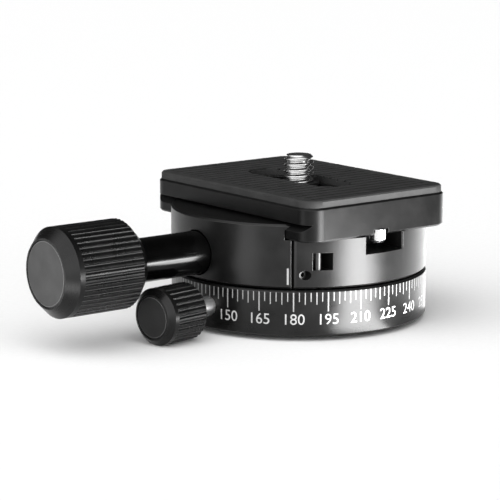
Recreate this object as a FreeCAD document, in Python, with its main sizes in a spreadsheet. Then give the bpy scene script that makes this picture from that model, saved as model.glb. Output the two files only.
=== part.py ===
import FreeCAD, Part
import math
import os
import types

import Sketcher

# A panoramic tripod head: a graduated ring fixed to the tripod, a clamp that turns on it,
# and a quick-release plate in the clamp. Millimetres. Z is up, the origin is the centre of the
# ring's bottom face, the clamp knob points to -X and the plate's groove runs along Y.

SHEET = "Sizes"
TOP_PLANE = "XY_Plane"
FRONT_PLANE = "XZ_Plane"
SIDE_PLANE = "YZ_Plane"
FULL_TURN = 360.0
QUARTER_TURN = 90.0
UPRIGHT_TOLERANCE = 0.0001

DRIVING_SIZES = [
    ("ring_dia", 55.0, "outside diameter of the ring and of the clamp"),
    ("ring_height", 9.7, "height of the graduated ring"),
    ("edge_bevel", 0.4, "bevel on the outer edges of ring and clamp"),
    ("seam_gap", 0.4, "shadow gap between the ring and the clamp"),
    ("floor_thick", 2.6, "thickness of the ring's floor"),
    ("boss_drop", 1.0, "boss top below the ring's top"),
    ("socket_dia", 9.525, "3/8 inch tripod thread"),
    ("bushing_dia", 6.35, "1/4 inch thread inside the bushing"),
    ("bushing_sink", 0.3, "bushing end below the top of its socket"),
    ("driver_slot", 1.5, "width and depth of the screwdriver slots"),
    ("bearing_clear", 0.05, "radial clearance of the spindle on the boss"),
    ("run_clear", 0.3, "radial clearance of turning parts that don't bear"),
    ("play", 0.03, "axial play and close sliding clearance"),
    ("thread_clear", 0.03, "radial clearance of a screw in its thread"),
    ("cut_over", 2.0, "how far a cut reaches past the material"),
    ("washer_thick", 0.3, "thickness of the two bearing washers"),
    ("washer_inset", 0.4, "bearing washer edge inside the flange edge"),
    ("hub_wall", 4.2, "wall of the spindle's hub, which runs on the tripod socket's boss"),
    ("flange_width", 4.0, "width of the spindle's flange around its hub"),
    ("hub_spigot", 1.5, "hub length inside the clamp"),
    ("ring_wall", 10.4, "wall of the ring around the spindle's flange"),
    ("flange_clear", 0.4, "flange edge to the ring's inner wall"),
    ("keeper_thick", 2.0, "thickness of the retaining ring"),
    ("keeper_sink", 0.4, "retaining ring below the ring's top"),
    ("keeper_rim", 5.4, "wall of the ring around the retaining ring"),
    ("keeper_screw_dia", 2.0, "retaining ring screws"),
    ("keeper_screw_length", 5.0, "length of the retaining ring screws"),
    ("keeper_screw_count", 3.0, "number of retaining ring screws"),
    ("spindle_screw_dia", 3.0, "screws that hold the clamp to the spindle"),
    ("spindle_screw_grip", 5.0, "screw length inside the hub"),
    ("spindle_screw_count", 4.0, "number of spindle screws"),
    ("spindle_screw_start", 45.0, "angle of the first spindle screw"),
    ("screw_head_sink", 0.2, "countersunk heads below the surface, and the play of their stems"),
    ("clamp_floor", 10.15, "clamp bottom to the groove's floor"),
    ("groove_width", 38.6, "width of the plate's groove"),
    ("groove_wall", 2.15, "upright part of the groove's wall"),
    ("lip_size", 1.0, "inward lean of the 45 degree lip"),
    ("split_gap", 0.4, "gap between the moving jaw and the clamp"),
    ("jaw_step_clear", 0.1, "moving jaw's shelf below the groove floor"),
    ("channel_width", 10.0, "relief for the plate's stop screws"),
    ("channel_depth", 3.65, "depth of the relief"),
    ("channel_length", 8.5, "length of the relief from the clamp's edge"),
    ("channel_shift", 1.0, "middle of the relief towards the fixed jaw"),
    ("sharp_bevel", 0.3, "bevel on the upright edges at the clamp's rim"),
    ("clamp_axis_rise", 5.6, "clamp screw axis above the clamp's bottom"),
    ("clamp_screw_dia", 5.0, "clamp screw"),
    ("clamp_screw_inner", 8.0, "inner end of the clamp screw from the centre"),
    ("clamp_thread_inner", 3.0, "inner end of its threaded hole"),
    ("clamp_screw_in_knob", 16.0, "clamp screw length inside the knob"),
    ("clip_thick", 0.6, "thickness of the retaining clips"),
    ("clip_width", 1.7, "radial width of the retaining clips"),
    ("clip_groove", 0.5, "depth of the clip grooves"),
    ("clip_inset", 0.3, "screw clip behind the jaw's inner face"),
    ("guide_pin_dia", 3.0, "jaw guide pins"),
    ("guide_pin_offset", 9.5, "guide pins from the clamp screw's axis"),
    ("guide_pin_reach", 0.1, "inner ends of the guide pins inside the circle of the spindle screws"),
    ("guide_pin_in_jaw", 5.7, "guide pin length past the split"),
    ("pin_end_clear", 0.3, "space beyond the end of each guide pin"),
    ("window_offset", 13.15, "window centre from the clamp's middle"),
    ("window_width", 3.7, "width of the window over the stop pin"),
    ("window_height", 3.6, "height of the window"),
    ("window_depth", 4.65, "depth of the window at its middle"),
    ("stop_pin_dia", 1.4, "steel pin in the window"),
    ("stop_pin_overlap", 1.5, "stop pin length above and below the window"),
    ("stop_pin_depth", 1.0, "stop pin centre behind the clamp's surface"),
    ("grub_dia", 2.0, "grub screw beside the index mark"),
    ("grub_length", 4.0, "length of the grub screw"),
    ("grub_offset", 16.2, "grub screw from the clamp's middle"),
    ("grub_rise", 2.8, "grub screw axis above the clamp's bottom"),
    ("grub_sink", 0.25, "grub screw behind the nearer lip of its hole"),
    ("seat_depth", 2.3, "knob's seat behind the jaw's outermost point"),
    ("knob_washer_thick", 0.45, "washer between the knob's shank and the jaw"),
    ("hole_clear", 0.2, "radial clearance of plain holes"),
    ("shank_dia", 9.2, "shank of the clamp knob"),
    ("knob_reach", 17.5, "clamp's rim to the clamp knob"),
    ("knob_length", 19.7, "length of the clamp knob"),
    ("knob_dia", 18.6, "diameter of the clamp knob"),
    ("knob_neck_dia", 14.2, "diameter at the knob's inner end"),
    ("knob_neck_taper", 2.2, "length of the taper at the inner end"),
    ("knob_shoulder", 2.2, "length of the bevelled outer shoulder"),
    ("knob_rim", 0.3, "rim of the knob around its end disc"),
    ("knob_face_dia", 13.8, "end disc of the clamp knob"),
    ("disc_depth", 1.2, "depth of the end discs in the knobs"),
    ("disc_bevel", 0.35, "bevel on the end discs"),
    ("rib_count", 48.0, "grooves around the clamp knob"),
    ("rib_depth", 0.3, "depth of the grooves"),
    ("rib_dia", 0.9, "diameter of the cutter for the grooves"),
    ("rib_margin", 1.2, "plain band before the outer shoulder"),
    ("lock_azimuth", 8.0, "lock knob turned from the clamp knob's side"),
    ("lock_screw_margin", 0.35, "lock screw to the ring's floor and to the retaining ring"),
    ("shoe_length", 2.9, "length of the brass shoe"),
    ("shoe_gap", 0.05, "shoe clearance to the spindle"),
    ("lock_knob_gap", 5.3, "ring's surface to the lock knob"),
    ("lock_knob_length", 10.9, "length of the lock knob"),
    ("lock_knob_dia", 11.9, "diameter of the lock knob"),
    ("lock_knob_bevel", 1.1, "bevel at both ends of the lock knob"),
    ("lock_face_dia", 9.0, "end disc of the lock knob"),
    ("lock_screw_in_knob", 9.0, "lock screw length inside its knob"),
    ("lock_rib_count", 30.0, "grooves around the lock knob"),
    ("lock_rib_margin", 1.0, "plain band beside each bevel of the lock knob"),
    ("plate_inset", 0.5, "plate's ends inside the clamp's rim"),
    ("slide_clear", 0.05, "clearance of the plate in the groove"),
    ("notch_size", 1.65, "45 degree notch along the plate's sides"),
    ("block_height", 3.4, "plate height above the notch"),
    ("plate_corner", 3.8, "corner radius of the plate"),
    ("plate_bevel", 0.4, "bevel around the plate's top and bottom"),
    ("pad_thick", 1.5, "rubber pad on the plate"),
    ("pad_inset", 0.4, "pad edge inside the plate's edge"),
    ("pad_bevel", 0.3, "bevel around the pad's top"),
    ("camera_screw_dia", 6.35, "1/4 inch camera screw"),
    ("camera_screw_rise", 5.0, "camera screw above the pad"),
    ("camera_slot_clear", 0.25, "slot's side to the camera screw"),
    ("camera_travel", 10.0, "camera screw travel each way"),
    ("camera_head_dia", 12.0, "head of the camera screw"),
    ("camera_head_height", 2.9, "height of the head"),
    ("camera_recess_depth", 3.9, "recess for the head under the plate"),
    ("recess_clear", 0.8, "recess wall to the head"),
    ("stop_screw_head_dia", 3.5, "head of the plate's stop screws"),
    ("stop_screw_drop", 1.7, "head below the plate's bottom"),
    ("stop_screw_sink", 1.1, "head inside the plate's notch"),
    ("stop_screw_stem_dia", 2.0, "stem of the stop screws"),
    ("stop_screw_stem", 3.0, "length of the stem"),
    ("stop_screw_inset", 1.2, "stop screw axis inside the plate's end"),
    ("stop_screw_clear", 0.3, "notch wall to the stop screw's head"),
    ("stop_screw_dome", 0.6, "rounding of the stop screw's head"),
]


class Size:
    """A number that keeps the spreadsheet formula it came from."""

    def __init__(self, mm, text):
        self.mm = mm
        self.text = text

    def __add__(self, other):
        return Size(self.mm + other.mm, "(" + self.text + " + " + other.text + ")")

    def __sub__(self, other):
        return Size(self.mm - other.mm, "(" + self.text + " - " + other.text + ")")

    def __mul__(self, factor):
        return Size(self.mm * factor, "(" + self.text + " * " + str(factor) + ")")

    def __truediv__(self, factor):
        return Size(self.mm / factor, "(" + self.text + " / " + str(factor) + ")")

    def __neg__(self):
        return Size(-self.mm, "(-1 * " + self.text + ")")


NONE = Size(0.0, "0")


def leg(hypotenuse, side):
    """The other leg of a right triangle, for points on a round surface."""
    mm = math.sqrt(hypotenuse.mm ** 2 - side.mm ** 2)
    text = "sqrt(" + hypotenuse.text + " ^ 2 - " + side.text + " ^ 2)"
    return Size(mm, text)


def add_sheet(doc):
    """Write the driving sizes to the spreadsheet and return them as Size values."""
    sheet = doc.addObject("Spreadsheet::Sheet", SHEET)
    sizes = types.SimpleNamespace()
    for row, (name, mm, note) in enumerate(DRIVING_SIZES, start=1):
        sheet.set("A" + str(row), note)
        sheet.set("B" + str(row), str(mm))
        sheet.setAlias("B" + str(row), name)
        setattr(sizes, name, Size(mm, SHEET + "." + name))
    return sizes


def add_base_levels(s):
    """Radii and heights of the ring, the spindle and what holds them together."""
    s.ring_r = s.ring_dia / 2
    s.socket_r = s.socket_dia / 2
    s.boss_top = s.ring_height - s.boss_drop
    s.keeper_top = s.ring_height - s.keeper_sink
    s.keeper_z = s.keeper_top - s.keeper_thick
    s.cavity_r = s.ring_r - s.ring_wall
    s.flange_r = s.cavity_r - s.flange_clear
    s.hub_r = s.flange_r - s.flange_width
    s.hub_in_r = s.hub_r - s.hub_wall
    s.boss_r = s.hub_in_r - s.bearing_clear
    s.flange_z = s.floor_thick + s.washer_thick + s.play
    s.flange_top = s.keeper_z - s.washer_thick - s.play
    s.keeper_in_r = s.hub_r + s.run_clear
    s.keeper_r = s.ring_r - s.keeper_rim
    s.keeper_screw_circle = (s.cavity_r + s.keeper_r) / 2
    s.spindle_screw_circle = (s.hub_in_r + s.hub_r) / 2


def add_clamp_levels(s):
    """Heights and offsets of the clamp, its groove and its jaws."""
    s.clamp_z = s.ring_height + s.seam_gap
    s.hub_top = s.clamp_z + s.hub_spigot
    s.floor_z = s.clamp_z + s.clamp_floor
    s.wall_top = s.floor_z + s.groove_wall
    s.clamp_top = s.wall_top + s.lip_size
    s.groove_half = s.groove_width / 2
    s.jaw_face = s.groove_half - s.lip_size
    s.body_face = s.jaw_face - s.split_gap
    s.axis_z = s.clamp_z + s.clamp_axis_rise
    s.far = s.ring_r + s.cut_over
    s.clamp_screw_r = s.clamp_screw_dia / 2
    s.jaw_clip_z = s.jaw_face + s.clip_inset
    s.knob_seat = s.ring_r - s.seat_depth
    s.shank_start = s.knob_seat + s.knob_washer_thick + s.play
    s.shank_r = s.shank_dia / 2
    s.guide_pin_inner = s.spindle_screw_circle - s.guide_pin_reach
    s.guide_pin_end = s.body_face + s.guide_pin_in_jaw
    s.stop_pin_x = s.window_offset + s.window_width / 2 - s.stop_pin_dia
    s.stop_pin_y = leg(s.ring_r, s.stop_pin_x) - s.stop_pin_depth
    s.window_floor = leg(s.ring_r, s.window_offset) - s.window_depth
    s.grub_end = leg(s.ring_r, s.grub_offset + s.grub_dia / 2) - s.grub_sink


def add_plate_levels(s):
    """Heights and offsets of the plate and its screws."""
    s.plate_z = s.floor_z + s.slide_clear
    s.plate_half = s.groove_half - s.slide_clear
    s.notch_z = s.wall_top - s.slide_clear
    s.notch_top = s.notch_z + s.notch_size
    s.plate_top = s.notch_top + s.block_height
    s.plate_height = s.plate_top - s.plate_z
    s.pad_top = s.plate_top + s.pad_thick
    s.recess_top = s.plate_z + s.camera_recess_depth
    s.camera_screw_r = s.camera_screw_dia / 2
    s.camera_slot_r = s.camera_screw_r + s.camera_slot_clear
    s.camera_neck_r = s.camera_screw_r - s.clip_groove
    s.camera_clip_r = s.camera_neck_r + s.clip_width
    s.plate_reach = s.ring_r - s.plate_inset
    s.stop_screw_y = s.plate_reach - s.stop_screw_inset
    s.stop_screw_r = s.stop_screw_head_dia / 2


def add_knob_levels(s):
    """Stations along the two knob axes, measured outward from the head's centre."""
    s.knob_start = s.ring_r + s.knob_reach
    s.knob_end = s.knob_start + s.knob_length
    s.knob_r = s.knob_dia / 2
    s.face_r = s.knob_face_dia / 2
    s.lock_z = (s.floor_thick + s.keeper_z) / 2
    s.lock_screw_r = (s.keeper_z - s.floor_thick) / 2 - s.lock_screw_margin
    s.shoe_start = s.flange_r + s.shoe_gap
    s.shoe_end = s.shoe_start + s.shoe_length
    s.lock_start = s.ring_r + s.lock_knob_gap
    s.lock_end = s.lock_start + s.lock_knob_length
    s.lock_r = s.lock_knob_dia / 2
    s.lock_face_r = s.lock_face_dia / 2


def new_body(doc, name):
    """A named sub-part."""
    body = doc.addObject("PartDesign::Body", name)
    body.Label = name
    return body


def origin_item(body, role):
    """One of the body's own origin planes or axes."""
    for item in body.Origin.OriginFeatures:
        if item.Role == role:
            return item
    raise ValueError("no origin feature " + role)


def new_sketch(body, name, role, shift=(NONE, NONE, NONE)):
    """A sketch on an origin plane, shifted in the plane's own directions."""
    sketch = body.newObject("Sketcher::SketchObject", name)
    sketch.AttachmentSupport = [(origin_item(body, role), "")]
    sketch.MapMode = "FlatFace"
    for axis, size in zip("xyz", shift):
        if size is not NONE:
            sketch.setExpression("AttachmentOffset.Base." + axis, size.text)
    return sketch


def fix_point(sketch, index, place, x, y):
    """Tie a point of the sketch to the formulas for its two coordinates."""
    if x is NONE:
        sketch.addConstraint(Sketcher.Constraint("PointOnObject", index, place, -2))
    else:
        number = sketch.addConstraint(Sketcher.Constraint("DistanceX", -1, 1, index, place, x.mm))
        sketch.setExpression("Constraints[" + str(number) + "]", x.text)
    if y is NONE:
        sketch.addConstraint(Sketcher.Constraint("PointOnObject", index, place, -1))
    else:
        number = sketch.addConstraint(Sketcher.Constraint("DistanceY", -1, 1, index, place, y.mm))
        sketch.setExpression("Constraints[" + str(number) + "]", y.text)


def draw_polygon(sketch, points):
    """A closed outline whose corners follow the sheet."""
    first = sketch.GeometryCount
    count = len(points)
    for number in range(count):
        x, y = points[number]
        next_x, next_y = points[(number + 1) % count]
        start = FreeCAD.Vector(x.mm, y.mm, 0)
        end = FreeCAD.Vector(next_x.mm, next_y.mm, 0)
        sketch.addGeometry(Part.LineSegment(start, end), False)
    for number in range(count):
        following = first + (number + 1) % count
        sketch.addConstraint(Sketcher.Constraint("Coincident", first + number, 2, following, 1))
    for number in range(count):
        fix_point(sketch, first + number, 1, *points[number])


def draw_box(sketch, x_low, x_high, y_low, y_high):
    """An upright rectangle."""
    draw_polygon(sketch, [(x_low, y_low), (x_high, y_low), (x_high, y_high), (x_low, y_high)])


def draw_circle(sketch, x, y, radius):
    """A circle whose centre and radius follow the sheet."""
    centre = FreeCAD.Vector(x.mm, y.mm, 0)
    index = sketch.addGeometry(Part.Circle(centre, FreeCAD.Vector(0, 0, 1), radius.mm), False)
    number = sketch.addConstraint(Sketcher.Constraint("Radius", index, radius.mm))
    sketch.setExpression("Constraints[" + str(number) + "]", radius.text)
    fix_point(sketch, index, 3, x, y)


def draw_slot(sketch, reach, radius):
    """A round-ended slot along the sketch's Y, its end centres at plus and minus reach."""
    up = FreeCAD.Vector(0, reach.mm, 0)
    normal = FreeCAD.Vector(0, 0, 1)
    top = Part.ArcOfCircle(Part.Circle(up, normal, radius.mm), 0, math.pi)
    bottom = Part.ArcOfCircle(Part.Circle(-up, normal, radius.mm), math.pi, 2 * math.pi)
    side = FreeCAD.Vector(radius.mm, 0, 0)
    sketch.addGeometry(top, False)
    sketch.addGeometry(Part.LineSegment(up - side, -up - side), False)
    sketch.addGeometry(bottom, False)
    sketch.addGeometry(Part.LineSegment(-up + side, up + side), False)
    for first, second in ((0, 1), (1, 2), (2, 3), (3, 0)):
        sketch.addConstraint(Sketcher.Constraint("Tangent", first, 2, second, 1))
    number = sketch.addConstraint(Sketcher.Constraint("Radius", 0, radius.mm))
    sketch.setExpression("Constraints[" + str(number) + "]", radius.text)
    fix_point(sketch, 0, 3, NONE, reach)
    fix_point(sketch, 2, 3, NONE, -reach)


def revolve(body, sketch, kind="PartDesign::Revolution"):
    """Turn the sketch fully round its own vertical axis."""
    feature = body.newObject(kind, sketch.Name + "_turned")
    feature.Profile = sketch
    feature.ReferenceAxis = (sketch, ["V_Axis"])
    feature.Angle = FULL_TURN
    sketch.Visibility = False
    return feature


def pad(body, sketch, length):
    """Raise the sketch along its normal."""
    feature = body.newObject("PartDesign::Pad", sketch.Name + "_pad")
    feature.Profile = sketch
    feature.setExpression("Length", length.text)
    sketch.Visibility = False
    return feature


def pocket(body, sketch, length, upward=False):
    """Cut against the sketch's normal, or along it when upward is set."""
    feature = body.newObject("PartDesign::Pocket", sketch.Name + "_cut")
    feature.Profile = sketch
    feature.setExpression("Length", length.text)
    feature.Reversed = upward
    sketch.Visibility = False
    return feature


def pocket_both_ways(body, sketch, length):
    """Cut the same distance on both sides of the sketch, the given length in all."""
    feature = pocket(body, sketch, length)
    feature.SideType = "Symmetric"
    return feature


def repeat_round(body, feature, count):
    """Copy a feature evenly round the body's Z axis."""
    pattern = body.newObject("PartDesign::PolarPattern", feature.Name + "_round")
    pattern.Originals = [feature]
    pattern.Axis = (origin_item(body, "Z_Axis"), [""])
    pattern.Angle = FULL_TURN
    pattern.setExpression("Occurrences", count.text)
    body.Tip = pattern
    return pattern


def mirror(body, feature, role):
    """Copy a feature to the other side of an origin plane."""
    copy = body.newObject("PartDesign::Mirrored", feature.Name + "_mirror")
    copy.Originals = [feature]
    copy.MirrorPlane = (origin_item(body, role), [""])
    body.Tip = copy
    return copy


def upright_edges(shape):
    """Names of the straight edges that run along Z."""
    names = []
    for number, edge in enumerate(shape.Edges, start=1):
        start = edge.Vertexes[0].Point
        end = edge.Vertexes[-1].Point
        sideways = abs(start.x - end.x) + abs(start.y - end.y)
        if isinstance(edge.Curve, Part.Line) and sideways < UPRIGHT_TOLERANCE:
            names.append("Edge" + str(number))
    return names


def upright_rim_edges(shape, radius):
    """Names of the upright edges at the given distance from the Z axis."""
    names = []
    for name in upright_edges(shape):
        place = shape.getElement(name).Vertexes[0].Point
        if abs(math.hypot(place.x, place.y) - radius) < UPRIGHT_TOLERANCE:
            names.append(name)
    return names


def edges_at_height(shape, height):
    """Names of the edges that lie flat at the given height."""
    names = []
    for number, edge in enumerate(shape.Edges, start=1):
        box = edge.BoundBox
        if abs(box.ZMin - height) < UPRIGHT_TOLERANCE and abs(box.ZMax - height) < UPRIGHT_TOLERANCE:
            names.append("Edge" + str(number))
    return names


def bevel_edges(body, feature, names, size):
    """Chamfer the named edges of a feature that is already computed."""
    chamfer = body.newObject("PartDesign::Chamfer", feature.Name + "_bevel")
    chamfer.Base = (feature, names)
    chamfer.setExpression("Size", size.text)
    feature.Visibility = False
    return chamfer


def bevel_upright_rim(doc, body, s):
    """Break the sharp upright edges where cuts meet the clamp's round side."""
    doc.recompute()
    feature = body.Tip
    bevel_edges(body, feature, upright_rim_edges(feature.Shape, s.ring_r.mm), s.sharp_bevel)


def round_corners(doc, body, feature, radius):
    """Fillet the upright corners of a padded block."""
    doc.recompute()
    fillet = body.newObject("PartDesign::Fillet", feature.Name + "_corners")
    fillet.Base = (feature, upright_edges(feature.Shape))
    fillet.setExpression("Radius", radius.text)
    feature.Visibility = False
    doc.recompute()
    return fillet


def lay_on_clamp_axis(body, s):
    """Point a knob part's Z outward along the clamp screw."""
    body.Placement.Rotation = FreeCAD.Rotation(FreeCAD.Vector(0, 1, 0), -QUARTER_TURN)
    body.setExpression("Placement.Base.z", s.axis_z.text)


def lay_on_lock_axis(body, s):
    """Point a lock part's Z outward along the lock screw."""
    turn = FreeCAD.Rotation(FreeCAD.Vector(0, 0, 1), s.lock_azimuth.mm)
    tilt = FreeCAD.Rotation(FreeCAD.Vector(0, 1, 0), -QUARTER_TURN)
    body.Placement.Rotation = turn * tilt
    body.setExpression("Placement.Base.z", s.lock_z.text)


def turn_about_z(body, angle):
    """Turn a part about the head's axis by an angle from the sheet."""
    body.Placement.Rotation = FreeCAD.Rotation(FreeCAD.Vector(0, 0, 1), angle.mm)


def make_base_housing(doc, s):
    """The graduated ring with its floor and the tripod socket's boss."""
    body = new_body(doc, "base_housing")
    sketch = new_sketch(body, "housing_section", FRONT_PLANE)
    draw_polygon(sketch, [
        (s.socket_r, NONE),
        (s.ring_r - s.edge_bevel, NONE),
        (s.ring_r, s.edge_bevel),
        (s.ring_r, s.ring_height - s.edge_bevel),
        (s.ring_r - s.edge_bevel, s.ring_height),
        (s.keeper_r + s.play, s.ring_height),
        (s.keeper_r + s.play, s.keeper_z),
        (s.cavity_r, s.keeper_z),
        (s.cavity_r, s.floor_thick),
        (s.boss_r, s.floor_thick),
        (s.boss_r, s.boss_top),
        (s.socket_r, s.boss_top),
    ])
    revolve(body, sketch)
    lock_hole = new_sketch(body, "lock_hole", SIDE_PLANE, (NONE, NONE, -s.hub_r))
    draw_circle(lock_hole, NONE, s.lock_z, s.lock_screw_r + s.thread_clear)
    pocket(body, lock_hole, s.ring_r)
    screw_hole = new_sketch(body, "keeper_screw_hole", TOP_PLANE, (NONE, NONE, s.keeper_z))
    draw_circle(screw_hole, s.keeper_screw_circle, NONE, s.keeper_screw_dia / 2 + s.thread_clear)
    hole = pocket(body, screw_hole, s.keeper_screw_length)
    repeat_round(body, hole, s.keeper_screw_count)
    turn_about_z(body, s.lock_azimuth)


def make_thread_bushing(doc, s):
    """Reducer from the 3/8 inch socket to a 1/4 inch tripod screw."""
    body = new_body(doc, "thread_bushing")
    sketch = new_sketch(body, "bushing_section", FRONT_PLANE)
    outer = s.socket_r - s.thread_clear
    draw_box(sketch, s.bushing_dia / 2, outer, NONE, s.boss_top - s.bushing_sink)
    revolve(body, sketch)
    slot = new_sketch(body, "bushing_slot", TOP_PLANE)
    draw_box(slot, -s.driver_slot / 2, s.driver_slot / 2, -s.socket_r, s.socket_r)
    pocket(body, slot, s.driver_slot, upward=True)


def make_washer(doc, name, inner, outer, low, high):
    """A flat ring between two heights."""
    body = new_body(doc, name)
    sketch = new_sketch(body, name + "_section", FRONT_PLANE)
    draw_box(sketch, inner, outer, low, high)
    revolve(body, sketch)
    return body


def make_bearing_washers(doc, s):
    """Plastic washers above and below the spindle's flange."""
    edge = s.flange_r - s.washer_inset
    make_washer(doc, "lower_bearing_washer", s.hub_in_r + s.washer_inset, edge,
                s.floor_thick, s.floor_thick + s.washer_thick)
    make_washer(doc, "upper_bearing_washer", s.hub_r + s.washer_inset, edge,
                s.keeper_z - s.washer_thick, s.keeper_z)


def draw_countersunk(sketch, radius, head_top, head_depth, tip):
    """Half section of a countersunk screw or of its seat, head_depth being the cone's depth."""
    draw_polygon(sketch, [
        (NONE, tip),
        (radius, tip),
        (radius, head_top - head_depth),
        (radius + head_depth, head_top),
        (NONE, head_top),
    ])


def make_retaining_ring(doc, s):
    """The ring that keeps the spindle down in the housing."""
    body = make_washer(doc, "retaining_ring", s.keeper_in_r, s.keeper_r, s.keeper_z, s.keeper_top)
    seat = new_sketch(body, "keeper_screw_seat", FRONT_PLANE, (s.keeper_screw_circle, NONE, NONE))
    radius = s.keeper_screw_dia / 2
    draw_countersunk(seat, radius + s.screw_head_sink, s.keeper_top, radius, s.keeper_z - s.cut_over)
    cut = revolve(body, seat, "PartDesign::Groove")
    repeat_round(body, cut, s.keeper_screw_count)
    turn_about_z(body, s.lock_azimuth)


def make_retaining_ring_screws(doc, s):
    """Three small countersunk screws in the retaining ring."""
    body = new_body(doc, "retaining_ring_screws")
    sketch = new_sketch(body, "keeper_screw", FRONT_PLANE, (s.keeper_screw_circle, NONE, NONE))
    radius = s.keeper_screw_dia / 2
    top = s.keeper_top - s.screw_head_sink
    draw_countersunk(sketch, radius, top, radius, s.keeper_top - s.keeper_screw_length)
    repeat_round(body, revolve(body, sketch), s.keeper_screw_count)
    turn_about_z(body, s.lock_azimuth)


def make_spindle(doc, s):
    """The flanged hub that the clamp is screwed to and that turns in the housing."""
    body = new_body(doc, "spindle")
    sketch = new_sketch(body, "spindle_section", FRONT_PLANE)
    draw_polygon(sketch, [
        (s.hub_in_r, s.flange_z),
        (s.flange_r, s.flange_z),
        (s.flange_r, s.flange_top),
        (s.hub_r, s.flange_top),
        (s.hub_r, s.hub_top),
        (s.hub_in_r, s.hub_top),
    ])
    revolve(body, sketch)
    hole = new_sketch(body, "spindle_screw_hole", TOP_PLANE, (NONE, NONE, s.hub_top))
    draw_circle(hole, s.spindle_screw_circle, NONE, s.spindle_screw_dia / 2 + s.thread_clear)
    cut = pocket(body, hole, s.spindle_screw_grip + s.screw_head_sink)
    repeat_round(body, cut, s.spindle_screw_count)
    turn_about_z(body, s.spindle_screw_start)


def make_spindle_screws(doc, s):
    """Four countersunk screws from the groove's floor down into the spindle."""
    body = new_body(doc, "spindle_screws")
    sketch = new_sketch(body, "spindle_screw", FRONT_PLANE, (s.spindle_screw_circle, NONE, NONE))
    radius = s.spindle_screw_dia / 2
    top = s.floor_z - s.screw_head_sink
    draw_countersunk(sketch, radius, top, radius, s.hub_top - s.spindle_screw_grip)
    repeat_round(body, revolve(body, sketch), s.spindle_screw_count)
    turn_about_z(body, s.spindle_screw_start)


def add_puck(body, s):
    """The bevelled round blank that both halves of the clamp are cut from."""
    sketch = new_sketch(body, body.Name + "_blank", FRONT_PLANE)
    draw_polygon(sketch, [
        (NONE, s.clamp_z),
        (s.ring_r - s.edge_bevel, s.clamp_z),
        (s.ring_r, s.clamp_z + s.edge_bevel),
        (s.ring_r, s.clamp_top - s.edge_bevel),
        (s.ring_r - s.edge_bevel, s.clamp_top),
        (NONE, s.clamp_top),
    ])
    revolve(body, sketch)


def cut_groove_in_body(body, s):
    """Take the plate's groove and the moving jaw's room out of the clamp body."""
    sketch = new_sketch(body, "groove", FRONT_PLANE)
    low = s.clamp_z - s.cut_over
    high = s.clamp_top + s.cut_over
    draw_polygon(sketch, [
        (-s.far, low),
        (-s.body_face, low),
        (-s.body_face, s.floor_z),
        (s.groove_half, s.floor_z),
        (s.groove_half, s.wall_top),
        (s.jaw_face, s.clamp_top),
        (s.jaw_face, high),
        (-s.far, high),
    ])
    pocket_both_ways(body, sketch, s.far * 2)


def cut_channels(body, s):
    """The relief at both ends of the groove, where the plate's stop screws hang."""
    sketch = new_sketch(body, "channel", TOP_PLANE, (NONE, NONE, s.floor_z))
    half = s.channel_width / 2
    left = s.channel_shift - half
    draw_box(sketch, left, s.channel_shift + half, -s.far, s.channel_length - s.ring_r)
    cut = pocket(body, sketch, s.channel_depth)
    mirror(body, cut, FRONT_PLANE)


def cut_spindle_seat(body, s):
    """The recess for the spindle's hub and the four screw holes above it."""
    seat = new_sketch(body, "hub_seat", TOP_PLANE, (NONE, NONE, s.clamp_z))
    draw_circle(seat, NONE, NONE, s.hub_r + s.play)
    pocket(body, seat, s.hub_spigot, upward=True)


def cut_spindle_screw_seats(body, s):
    """Countersunk holes from the groove's floor, the first at the first screw's angle."""
    start = math.radians(s.spindle_screw_start.mm)
    across = s.spindle_screw_circle * math.cos(start)
    back = s.spindle_screw_circle * math.sin(start)
    seat = new_sketch(body, "spindle_screw_seat", FRONT_PLANE, (across, NONE, -back))
    radius = s.spindle_screw_dia / 2
    draw_countersunk(seat, radius + s.screw_head_sink, s.floor_z, radius, s.clamp_z)
    cut = revolve(body, seat, "PartDesign::Groove")
    repeat_round(body, cut, s.spindle_screw_count)


def cut_side_holes(body, s):
    """Clamp screw thread, guide pin holes, window and grub screw hole."""
    thread = new_sketch(body, "clamp_thread", SIDE_PLANE, (NONE, NONE, -s.clamp_thread_inner))
    draw_circle(thread, NONE, s.axis_z, s.clamp_screw_r + s.thread_clear)
    pocket(body, thread, s.ring_r)
    pins = new_sketch(body, "guide_pin_holes", SIDE_PLANE, (NONE, NONE, -s.guide_pin_inner))
    for side in (-s.guide_pin_offset, s.guide_pin_offset):
        draw_circle(pins, side, s.axis_z, s.guide_pin_dia / 2)
    pocket(body, pins, s.ring_r)
    window = new_sketch(body, "window", FRONT_PLANE, (NONE, NONE, s.far))
    half = s.window_width / 2
    rise = s.window_height / 2
    draw_box(window, -s.window_offset - half, -s.window_offset + half, s.axis_z - rise, s.axis_z + rise)
    pocket(body, window, s.far - s.window_floor)
    grub = new_sketch(body, "grub_hole", FRONT_PLANE, (NONE, NONE, s.far))
    draw_circle(grub, -s.grub_offset, s.clamp_z + s.grub_rise, s.grub_dia / 2)
    pocket(body, grub, s.far - s.grub_end + s.grub_length)


def cut_stop_pin_hole(body, s):
    """The upright hole that holds the steel pin across the window."""
    hole = new_sketch(body, "stop_pin_hole", TOP_PLANE, (NONE, NONE, s.clamp_z))
    draw_circle(hole, -s.stop_pin_x, -s.stop_pin_y, s.stop_pin_dia / 2)
    rise = s.axis_z + s.window_height / 2 + s.stop_pin_overlap - s.clamp_z
    pocket(body, hole, rise, upward=True)


def make_clamp_body(doc, s):
    """The turning clamp with its fixed jaw and the plate's groove."""
    body = new_body(doc, "clamp_body")
    add_puck(body, s)
    cut_groove_in_body(body, s)
    cut_channels(body, s)
    bevel_upright_rim(doc, body, s)
    cut_spindle_seat(body, s)
    cut_side_holes(body, s)
    cut_stop_pin_hole(body, s)
    cut_spindle_screw_seats(body, s)


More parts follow.
